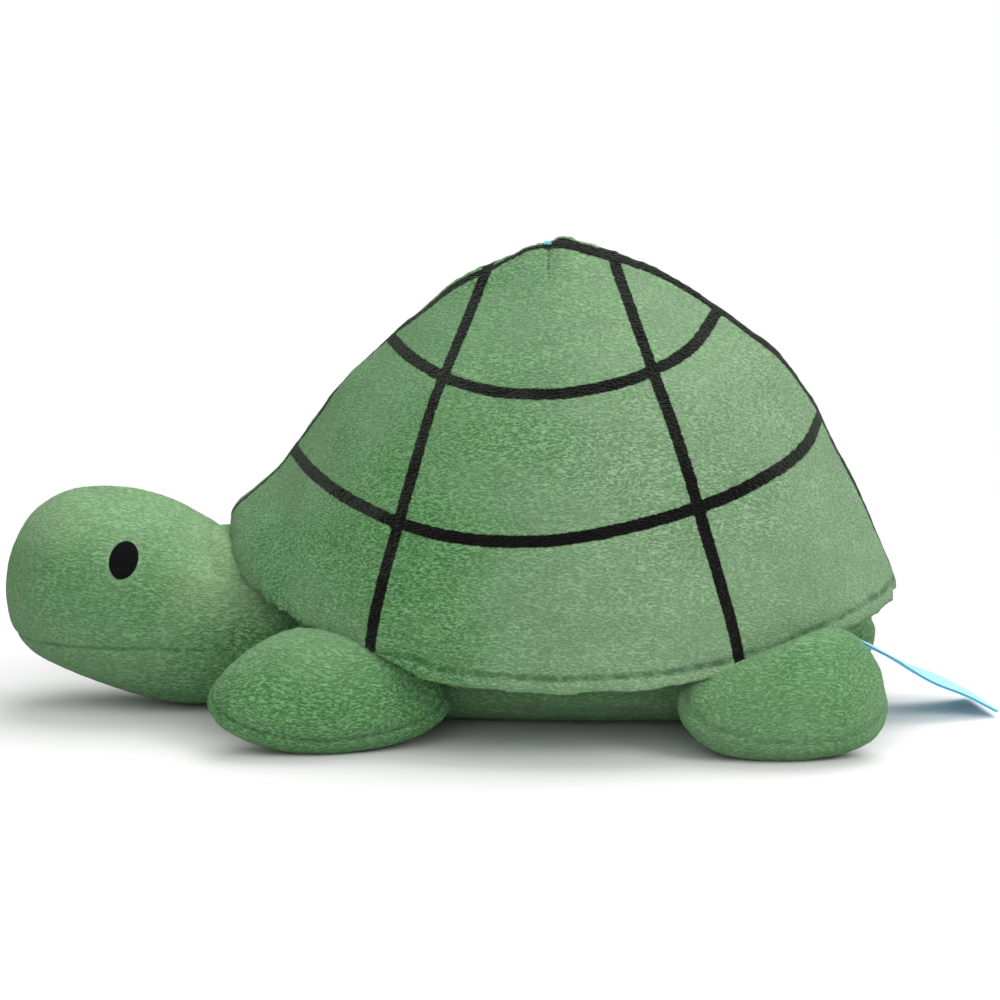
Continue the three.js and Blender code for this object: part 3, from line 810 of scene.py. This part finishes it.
def mapRange(tree, value, fromLow, fromHigh, toLow=0.0, toHigh=1.0):
    node = addNode(tree, "ShaderNodeMapRange", interpolation_type="SMOOTHSTEP")
    tree.links.new(value, node.inputs["Value"])
    node.inputs["From Min"].default_value = fromLow
    node.inputs["From Max"].default_value = fromHigh
    node.inputs["To Min"].default_value = toLow
    node.inputs["To Max"].default_value = toHigh
    return node.outputs["Result"]


def colourMix(tree, factor, first, second):
    node = addNode(tree, "ShaderNodeMix", data_type="RGBA")
    for index, value in ((0, factor), (6, first), (7, second)):
        if isinstance(value, (int, float, tuple)):
            node.inputs[index].default_value = value
        else:
            tree.links.new(value, node.inputs[index])
    return node.outputs[2]


def noiseNode(tree, vector, scale, detail=2.0, roughness=0.5, distortion=0.0):
    node = addNode(tree, "ShaderNodeTexNoise")
    tree.links.new(vector, node.inputs["Vector"])
    node.inputs["Scale"].default_value = scale
    node.inputs["Detail"].default_value = detail
    node.inputs["Roughness"].default_value = roughness
    node.inputs["Distortion"].default_value = distortion
    return node


def vectorMath(tree, operation, a, b):
    node = addNode(tree, "ShaderNodeVectorMath", operation=operation)
    for socket, value in zip(node.inputs, (a, b)):
        if isinstance(value, tuple):
            socket.default_value = value
        else:
            tree.links.new(value, socket)
    return node.outputs[0]


def addBump(tree, shader, height, strength, distance):
    bump = addNode(tree, "ShaderNodeBump")
    bump.inputs["Strength"].default_value = strength
    bump.inputs["Distance"].default_value = distance
    tree.links.new(height, bump.inputs["Height"])
    tree.links.new(bump.outputs["Normal"], shader.inputs["Normal"])


def setGloss(shader, roughness, specular):
    shader.inputs["Roughness"].default_value = roughness
    shader.inputs["Specular IOR Level"].default_value = specular


def fieldOf(tree, name):
    return addNode(tree, "ShaderNodeAttribute", attribute_name=name).outputs["Fac"]


def newMaterial(name):
    material = bpy.data.materials.new(name)
    material.use_nodes = True
    return material, material.node_tree, material.node_tree.nodes["Principled BSDF"]


# Scale, detail, roughness and distortion of each noise in the pile
napPlan = {
    "swirl": (55.0, 1.0),
    "strokes": (740.0, 1.5, 0.55, 0.5),
    "fibres": (1700.0, 1.0, 0.5, 0.2),
    "patches": (20.0, 2.5, 0.5, 0.3),
    "strokeSpan": (0.35, 0.65),      # of each noise's values, the part that is stretched to 0 to 1
    "fibreSpan": (0.33, 0.67),
    "patchSpan": (0.28, 0.72),
    "strokeShare": 0.68,
    "fibreShare": 0.32,
}


def makeNapGroup():
    # Short pile, brushed in changing directions: strokes, patches and their height
    group = socketGroup(
        "velourNap",
        [("Vector", "NodeSocketVector", None), ("Stretch", "NodeSocketVector", (1.0, 1.0, 1.0)),
         ("Brushing", "NodeSocketFloat", 0.006)],
        [("Strokes", "NodeSocketFloat"), ("Patches", "NodeSocketFloat"), ("Height", "NodeSocketFloat")])
    inner = addNode(group, "NodeGroupInput")
    outer = addNode(group, "NodeGroupOutput")
    swirl = noiseNode(group, inner.outputs["Vector"], *napPlan["swirl"])
    centred = vectorMath(group, "SUBTRACT", swirl.outputs["Color"], (0.5, 0.5, 0.5))
    scaled = addNode(group, "ShaderNodeVectorMath", operation="SCALE")
    group.links.new(centred, scaled.inputs[0])
    group.links.new(inner.outputs["Brushing"], scaled.inputs["Scale"])
    turned = vectorMath(group, "ADD", inner.outputs["Vector"], scaled.outputs[0])
    stretched = vectorMath(group, "MULTIPLY", turned, inner.outputs["Stretch"])
    strokes = noiseNode(group, stretched, *napPlan["strokes"])
    fibres = noiseNode(group, stretched, *napPlan["fibres"])
    patches = noiseNode(group, inner.outputs["Vector"], *napPlan["patches"])
    soft = mapRange(group, strokes.outputs["Fac"], *napPlan["strokeSpan"])
    fine = mapRange(group, fibres.outputs["Fac"], *napPlan["fibreSpan"])
    both = sums(group, "ADD", sums(group, "MULTIPLY", soft, napPlan["strokeShare"]),
                sums(group, "MULTIPLY", fine, napPlan["fibreShare"]))
    group.links.new(both, outer.inputs["Strokes"])
    broad = mapRange(group, patches.outputs["Fac"], *napPlan["patchSpan"])
    group.links.new(broad, outer.inputs["Patches"])
    group.links.new(both, outer.inputs["Height"])
    return group


plushLook = {
    "shade": (52, 102, 51),
    "middle": (86, 138, 83),
    "tip": (127, 175, 123),
    "brushed": (134, 168, 128),
    # Lighter colours towards the tail: partly brushed pile, partly painted light falling from the tail side
    "paleShade": (94, 132, 91),
    "paleMiddle": (124, 157, 118),
    "paleTip": (155, 185, 149),
    # painted highlight colour for the crown and nape
    "nape": (158, 188, 144),
    "palerFrom": -30 * mm,
    "palerTo": 55 * mm,
    # painted shade colour for seam creases and the dart's fold
    "seam": (34, 68, 40),
    "halo": (160, 190, 150),
    "ink": (9, 5, 7),
    "stretch": (1.0, 2.0, 3.0),
    "limbStretch": (0.9, 1.8, 2.7),
    "brushedSpan": (0.1, 0.9, 0.0, 0.35),
    "napeShares": (0.35, 0.7),
    "haloShare": 0.35,
    "stitches": (330.0, 1.0),        # scale and detail
    "creaseBreakSpan": (0.38, 0.6, 0.5, 1.0),
    "inkGrain": (900.0, 2.0),
    "creaseWidths": (0.1 * mm, 0.65 * mm),
    "inkWidths": (1.55 * mm, 2.0 * mm),
    "inkWander": 0.7 * mm,
    "bumpStrength": 0.9,
    "bumpHeight": 0.65 * mm,
    "roughness": 0.92,
    "specular": 0.08,
    "sheen": 0.19,
    "sheenRoughness": 0.3,
    "sheenTint": (0.8, 1.0, 0.78, 1.0),
}
napGroup = makeNapGroup()


def makePlush(name, stretch, fades):
    look = plushLook
    material, tree, shader = newMaterial(name)
    coordinates = addNode(tree, "ShaderNodeTexCoord").outputs["Object"]
    nap = addNode(tree, "ShaderNodeGroup", node_tree=napGroup)
    tree.links.new(coordinates, nap.inputs["Vector"])
    nap.inputs["Stretch"].default_value = stretch
    strokes, patches = nap.outputs["Strokes"], nap.outputs["Patches"]
    colours = [linear(*look[key]) for key in ("shade", "middle", "tip")]
    if fades:
        # The pile turns lighter towards the tail: partly brushed nap, partly painted light from the tail
        # side.
        along = addNode(tree, "ShaderNodeSeparateXYZ")
        tree.links.new(coordinates, along.inputs[0])
        brushedAndLitPaler = mapRange(tree, along.outputs["X"], look["palerFrom"], look["palerTo"])
        lights = [linear(*look[key]) for key in ("paleShade", "paleMiddle", "paleTip")]
        colours = [colourMix(tree, brushedAndLitPaler, dark, light) for dark, light in zip(colours, lights)]
    fabric = colourMix(tree, mapRange(tree, strokes, 0.0, 0.5), colours[0], colours[1])
    fabric = colourMix(tree, mapRange(tree, strokes, 0.5, 1.0), fabric, colours[2])
    brushed = mapRange(tree, patches, *look["brushedSpan"])
    fabric = colourMix(tree, brushed, fabric, linear(*look["brushed"]))
    # Painted highlight on the crown and nape, mottled by the strokes
    pale = fieldOf(tree, "headHighlight")
    mottle = mapRange(tree, strokes, 0.0, 1.0, *look["napeShares"])
    fabric = colourMix(tree, sums(tree, "MULTIPLY", pale, mottle), fabric, linear(*look["nape"]))
    halo = fieldOf(tree, "eyeHalo")
    fabric = colourMix(tree, sums(tree, "MULTIPLY", halo, look["haloShare"]), fabric, linear(*look["halo"]))
    # Painted shade darkens the seam creases and the dart's fold, broken into dashes
    seam = fieldOf(tree, "seamDistance")
    depth = fieldOf(tree, "seamShade")
    stitches = noiseNode(tree, coordinates, *look["stitches"])
    broken = mapRange(tree, stitches.outputs["Fac"], *look["creaseBreakSpan"])
    creaseShade = sums(tree, "MULTIPLY", mapRange(tree, seam, *look["creaseWidths"], 1.0, 0.0),
                  sums(tree, "MULTIPLY", depth, broken))
    fabric = colourMix(tree, creaseShade, fabric, linear(*look["seam"]))
    line = fieldOf(tree, "lineDistance")
    ragged = noiseNode(tree, coordinates, *look["inkGrain"])
    centred = sums(tree, "SUBTRACT", ragged.outputs["Fac"], 0.5)
    wander = sums(tree, "MULTIPLY", centred, look["inkWander"])
    edge = sums(tree, "ADD", line, wander)
    ink = mapRange(tree, edge, *look["inkWidths"], 1.0, 0.0)
    fabric = colourMix(tree, ink, fabric, linear(*look["ink"]))
    tree.links.new(fabric, shader.inputs["Base Color"])
    addBump(tree, shader, nap.outputs["Height"], look["bumpStrength"], look["bumpHeight"])
    setGloss(shader, look["roughness"], look["specular"])
    shader.inputs["Sheen Weight"].default_value = look["sheen"]
    shader.inputs["Sheen Roughness"].default_value = look["sheenRoughness"]
    shader.inputs["Sheen Tint"].default_value = look["sheenTint"]
    return material


threadLook = {
    "specks": (2600.0, 2.0, 0.6),
    "speckSpan": (0.35, 0.65),
    "darker": 0.6,
    "lighter": 1.5,
    "glint": 0.004,
    "bump": (0.3, 0.1 * mm),
}


def makeThread(name, colour, roughness, specular=0.4):
    look = threadLook
    material, tree, shader = newMaterial(name)
    coordinates = addNode(tree, "ShaderNodeTexCoord").outputs["Object"]
    specks = noiseNode(tree, coordinates, *look["specks"])
    channels = linear(*colour)[:3]
    darker = tuple(channel * look["darker"] for channel in channels) + (1.0,)
    lighter = tuple(min(1.0, channel * look["lighter"] + look["glint"]) for channel in channels) + (1.0,)
    share = mapRange(tree, specks.outputs["Fac"], *look["speckSpan"])
    shade = colourMix(tree, share, darker, lighter)
    tree.links.new(shade, shader.inputs["Base Color"])
    addBump(tree, shader, specks.outputs["Fac"], *look["bump"])
    setGloss(shader, roughness, specular)
    return material


shellPlush = makePlush("shell plush", plushLook["stretch"], True)
limbPlush = makePlush("limb plush", plushLook["limbStretch"], False)
for name, plan in paddedPieces.items():
    plan["piece"].data.materials.clear()
    plan["piece"].data.materials.append(shellPlush if name == "shell_plush" else limbPlush)
    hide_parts(*plan["nodes"])
    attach(plan["piece"], plan["body"])
print("plush finished")


eyeBlack = makeThread("eye thread", (6, 5, 7), 0.8, specular=0.06)


def makeEye(side):
    node = side + "_eye"
    name = node + "_stitching"
    low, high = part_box(node)
    centre = (low + high) / 2
    outward = -1 if centre.y < 0 else 1
    tree = treeOf(paddedPieces["head_plush"]["piece"].data)
    hit, normal = tree.ray_cast(Vector((centre.x, outward * 0.1, centre.z)), Vector((0, -outward, 0)))[:2]
    along = Vector((0, 0, 1)).cross(normal).normalized()
    up = normal.cross(along).normalized()
    patch = bmesh.new()
    halfWidth, halfHeight = eyePlan["halfWidth"], eyePlan["halfHeight"]
    bmesh.ops.create_grid(patch, x_segments=eyePlan["grid"][0], y_segments=eyePlan["grid"][1], size=1.0)
    outside = [vert for vert in patch.verts if vert.co.xy.length > 1.0]
    bmesh.ops.delete(patch, geom=outside, context="VERTS")
    lean = math.radians(eyePlan["lean"]) * (-1 if outward < 0 else 1)
    slant = math.radians(eyePlan["slant"]) * (1 if outward < 0 else -1)
    for vert in patch.verts:
        radius = vert.co.xy.length
        u, v = vert.co.x * halfWidth, vert.co.y * halfHeight
        across = u * math.sin(slant) + v * math.cos(slant)
        row = across / eyePlan["threadPitch"]
        jitter = eyePlan["threadWander"] * noise.noise(Vector((math.floor(row) * 1.7, u / mm * 0.4, 0.0)))
        ridge = abs(math.sin(math.pi * (row + jitter)))
        u2 = u * math.cos(lean) - v * math.sin(lean)
        v2 = u * math.sin(lean) + v * math.cos(lean)
        flat = hit + along * u2 + up * v2
        on = tree.ray_cast(flat + normal * 0.02, -normal)
        base = on[0] if on[0] is not None else flat
        crown = eyePlan["rise"] * (1 - radius ** 6) - eyePlan["edgeDrop"] * radius ** 10
        vert.co = base + normal * (crown + eyePlan["threadHeight"] * (ridge - 0.5) * (1 - radius ** 8))
    bmesh.ops.recalc_face_normals(patch, faces=patch.faces)
    if sum(face.normal.dot(normal) for face in patch.faces) < 0:
        bmesh.ops.reverse_faces(patch, faces=patch.faces)
    bmesh.ops.solidify(patch, geom=patch.faces, thickness=eyePlan["thickness"])
    bmesh.ops.recalc_face_normals(patch, faces=patch.faces)
    mesh = meshFrom(name, patch)
    shadeSmooth(mesh)
    mesh.materials.append(eyeBlack)
    piece = newPiece(name, mesh)
    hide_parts(node)
    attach(piece, "head")


makeEye("left")
makeEye("right")
print("eyes stitched")


labelPlan = {
    "width": 25 * mm,
    "flatLength": 0.0967,
    "reach": 42 * mm,
    "sewn": (101.3 * mm, 0.0, 23.6 * mm),
    "turn": 15.0,
    "restHeight": 1.0 * mm,
    "sag": 0.7 * mm,
    "ripple": 0.6 * mm,
    "thickness": 0.3 * mm,
    "gap": 0.45 * mm,
    "tipAt": 0.6,            # of a step back from the end of the way out
    "tuck": 1.0 * mm,
    "curl": 0.9 * mm,
    "twist": 0.5 * mm,
    "stepsOut": 24,
    "stepsRound": 6,
    "stepsAcross": 12,
}


satinLook = {
    "dark": (118, 198, 234),
    "light": (156, 220, 244),
    "threads": 40.0,
    "distortion": 0.6,
    "span": (0.2, 0.8),
    "bump": (0.25, 0.05 * mm),
    "roughness": 0.42,
    "specular": 0.5,
}


def makeSatin():
    look = satinLook
    material, tree, shader = newMaterial("label satin")
    coordinates = addNode(tree, "ShaderNodeTexCoord").outputs["UV"]
    weave = addNode(tree, "ShaderNodeTexWave", wave_type="BANDS", bands_direction="X")
    tree.links.new(coordinates, weave.inputs["Vector"])
    weave.inputs["Scale"].default_value = look["threads"]
    weave.inputs["Distortion"].default_value = look["distortion"]
    share = mapRange(tree, weave.outputs["Fac"], *look["span"])
    shade = colourMix(tree, share, linear(*look["dark"]), linear(*look["light"]))
    tree.links.new(shade, shader.inputs["Base Color"])
    addBump(tree, shader, weave.outputs["Fac"], *look["bump"])
    setGloss(shader, look["roughness"], look["specular"])
    return material


def makeLabel():
    plan = labelPlan
    turn = math.radians(plan["turn"])
    out = Vector((math.cos(turn), math.sin(turn), 0))
    across = Vector((-math.sin(turn), math.cos(turn), 0))
    root = Vector(plan["sewn"])
    fall = plan["restHeight"] - root.z

    def onPath(share, layer):
        height = fall * share - plan["sag"] * math.sin(math.pi * share)
        height += plan["ripple"] * math.sin(3 * math.pi * share) * math.sin(math.pi * share)
        return out * (share * plan["reach"]) + Vector((0, 0, height + layer))

    # Out along the upper layer, round the fold at the tip, and back along the lower one
    steps, roundSteps = plan["stepsOut"], plan["stepsRound"]
    upper, lower = plan["gap"] + plan["thickness"], plan["thickness"] * 0.5
    bend = (upper - lower) / 2
    path = [onPath(k / steps, upper) for k in range(steps)]
    for k in range(roundSteps + 1):
        angle = math.pi * (0.5 - k / roundSteps)
        tip = onPath((steps - plan["tipAt"]) / steps, lower + bend)
        path.append(tip + out * bend * 2 * math.cos(angle) + Vector((0, 0, bend * math.sin(angle))))
    path += [onPath(k / steps, lower) for k in reversed(range(steps))]
    strip = bmesh.new()
    verts = [strip.verts.new(root + place - across * plan["width"] / 2) for place in path]
    edges = [strip.edges.new(pair) for pair in zip(verts, verts[1:])]
    for step in range(plan["stepsAcross"]):
        made = bmesh.ops.extrude_edge_only(strip, edges=edges)["geom"]
        moved = [item for item in made if isinstance(item, bmesh.types.BMVert)]
        edges = [item for item in made if isinstance(item, bmesh.types.BMEdge)]
        bmesh.ops.translate(strip, verts=moved, vec=across * plan["width"] / plan["stepsAcross"])
    uv = strip.loops.layers.uv.new("flat")
    for face in strip.faces:
        for loop in face.loops:
            place = loop.vert.co - root
            loop[uv].uv = (place.dot(across) / plan["width"] + 0.5, place.dot(out) / plan["reach"])
    for vert in strip.verts:
        place = vert.co - root
        side = place.dot(across) / plan["width"] * 2
        share = place.dot(out) / plan["reach"]
        vert.co.z += plan["curl"] * side * side * ease(share * 1.2) * (1 - share)
        vert.co.z += plan["twist"] * side * share * (1 - share)
        vert.co.z -= plan["tuck"] * (side + 1) * (1 - share) ** 2
    mesh = meshFrom("care_label_ribbon", strip)
    mesh.materials.append(makeSatin())
    piece = newPiece("care_label_ribbon", mesh)
    wall = piece.modifiers.new("cloth", "SOLIDIFY")
    wall.thickness = plan["thickness"]
    wall.offset = 0.0
    settle(piece)
    shadeSmooth(piece.data)
    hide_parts("care_label")
    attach(piece, "label")


makeLabel()
print("label made")


tackPlan = {
    "strands": 5,
    "halfReach": 2.2 * mm,
    "threadRadius": 0.24 * mm,
    "rise": 0.7 * mm,
    "pitch": 0.38 * mm,
    "wander": 0.06 * mm,
    "sunk": 0.5 * mm,
    "sides": 8,
    "steps": 14,
}
teal = makeThread("teal thread", (38, 150, 150), 0.5)


def makeTack():
    low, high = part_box("thread_tack")
    centre = (low + high) / 2
    shell = treeOf(paddedPieces["shell_plush"]["piece"].data)
    top = shell.ray_cast(Vector((centre.x, 0, 0.2)), Vector((0, 0, -1)))[0]
    plan = tackPlan
    bundle = bmesh.new()
    for strand in range(plan["strands"]):
        ring = bmesh.new()
        bmesh.ops.create_circle(ring, segments=plan["sides"], radius=plan["threadRadius"])
        for axis in ("X", "Y"):
            quarter = Matrix.Rotation(math.pi / 2, 3, axis)
            bmesh.ops.rotate(ring, verts=ring.verts, cent=(0, 0, 0), matrix=quarter)
        bmesh.ops.translate(ring, verts=ring.verts, vec=(0, -plan["halfReach"], 0))
        bmesh.ops.spin(ring, geom=ring.verts[:] + ring.edges[:], cent=(0, 0, 0), axis=(-1, 0, 0),
                       dvec=(0, 0, 0), angle=math.pi, steps=plan["steps"], use_merge=False)
        bmesh.ops.scale(ring, verts=ring.verts, vec=(1, 1, plan["rise"] / plan["halfReach"]))
        offset = (strand - (plan["strands"] - 1) / 2) * plan["pitch"]
        offset += random.uniform(-plan["wander"], plan["wander"])
        bmesh.ops.translate(ring, verts=ring.verts, vec=(centre.x + offset, 0, top.z - plan["sunk"]))
        mesh = meshFrom("strand", ring)
        bundle.from_mesh(mesh)
        bpy.data.meshes.remove(mesh)
    bmesh.ops.holes_fill(bundle, edges=bundle.edges, sides=plan["sides"])
    bmesh.ops.recalc_face_normals(bundle, faces=bundle.faces)
    mesh = meshFrom("apex_thread", bundle)
    shadeSmooth(mesh)
    mesh.materials.append(teal)
    piece = newPiece("apex_thread", mesh)
    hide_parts("thread_tack")
    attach(piece, "trunk")


makeTack()
print("tack made")


stagePlan = {
    "reach": 3.0,
    "fadeStart": 0.17,
    "fadeEnd": 0.45,
    "paper": 0.76,
    "bounce": 0.7,
    # Direction from, to, and the light there
    "fromAbove": (-0.1, 0.9, 0.06, 0.7),
    "fromTail": (-0.9, 0.9, 0.7, 1.35),
}


def seenByEye(tree):
    rays = addNode(tree, "ShaderNodeLightPath")
    return sums(tree, "MAXIMUM", rays.outputs["Is Camera Ray"],
                sums(tree, "MAXIMUM", rays.outputs["Is Glossy Ray"], rays.outputs["Is Transmission Ray"]))


def makeFloor():
    ground = bmesh.new()
    bmesh.ops.create_grid(ground, x_segments=8, y_segments=8, size=stagePlan["reach"])
    mesh = meshFrom("floor", ground)
    floor = bpy.data.objects.new("floor", mesh)
    bpy.context.collection.objects.link(floor)
    material, tree = newMaterial("floor paper")[:2]
    tree.nodes.clear()
    output = addNode(tree, "ShaderNodeOutputMaterial")
    paper = addNode(tree, "ShaderNodeBsdfDiffuse")
    white = addNode(tree, "ShaderNodeEmission")
    white.inputs["Color"].default_value = (1, 1, 1, 1)
    coordinates = addNode(tree, "ShaderNodeTexCoord").outputs["Object"]
    length = addNode(tree, "ShaderNodeVectorMath", operation="LENGTH")
    tree.links.new(coordinates, length.inputs[0])
    far = mapRange(tree, length.outputs["Value"], stagePlan["fadeStart"], stagePlan["fadeEnd"])
    seen = seenByEye(tree)
    share = sums(tree, "MULTIPLY", far, seen)
    tones = [(stagePlan[key],) * 3 + (1.0,) for key in ("bounce", "paper")]
    tree.links.new(colourMix(tree, seen, *tones), paper.inputs["Color"])
    blend = addNode(tree, "ShaderNodeMixShader")
    tree.links.new(share, blend.inputs[0])
    tree.links.new(paper.outputs[0], blend.inputs[1])
    tree.links.new(white.outputs[0], blend.inputs[2])
    tree.links.new(blend.outputs[0], output.inputs["Surface"])
    mesh.materials.append(material)


def makeWorld():
    world = bpy.data.worlds.new("studio")
    bpy.context.scene.world = world
    world.use_nodes = True
    tree = world.node_tree
    tree.nodes.clear()
    output = addNode(tree, "ShaderNodeOutputWorld")
    seenLight = addNode(tree, "ShaderNodeBackground")
    seenLight.inputs["Strength"].default_value = 1.0
    roomLight = addNode(tree, "ShaderNodeBackground")
    direction = addNode(tree, "ShaderNodeSeparateXYZ")
    tree.links.new(addNode(tree, "ShaderNodeTexCoord").outputs["Generated"], direction.inputs[0])
    fromAbove = mapRange(tree, direction.outputs["Z"], *stagePlan["fromAbove"])
    fromTail = mapRange(tree, direction.outputs["X"], *stagePlan["fromTail"])
    tree.links.new(sums(tree, "MULTIPLY", fromAbove, fromTail), roomLight.inputs["Strength"])
    seen = seenByEye(tree)
    blend = addNode(tree, "ShaderNodeMixShader")
    tree.links.new(seen, blend.inputs[0])
    tree.links.new(roomLight.outputs[0], blend.inputs[1])
    tree.links.new(seenLight.outputs[0], blend.inputs[2])
    tree.links.new(blend.outputs[0], output.inputs["Surface"])
    for background in (seenLight, roomLight):
        background.inputs["Color"].default_value = (1, 1, 1, 1)


lamps = {
    "overhead": {"place": (0.25, 0.5, 1.15), "size": 1.2, "power": 14.0},
    "key": {"place": (1.1, -0.9, 1.1), "size": 0.9, "power": 13.0},
    "front": {"place": (-0.1, -1.4, 0.75), "size": 1.2, "power": 10.0},
}
lampAim = Vector((0.0, 0.0, 0.05))


def makeLamps():
    for name, plan in lamps.items():
        lamp = bpy.data.lights.new(name, "AREA")
        lamp.shape = "SQUARE"
        lamp.size = plan["size"]
        lamp.energy = plan["power"]
        holder = bpy.data.objects.new(name, lamp)
        holder.location = plan["place"]
        aim = lampAim - Vector(plan["place"])
        holder.rotation_euler = aim.to_track_quat("-Z", "Y").to_euler()
        bpy.context.collection.objects.link(holder)


makeFloor()
makeWorld()
makeLamps()
bpy.context.scene.view_settings.view_transform = "Standard"
print("studio set")
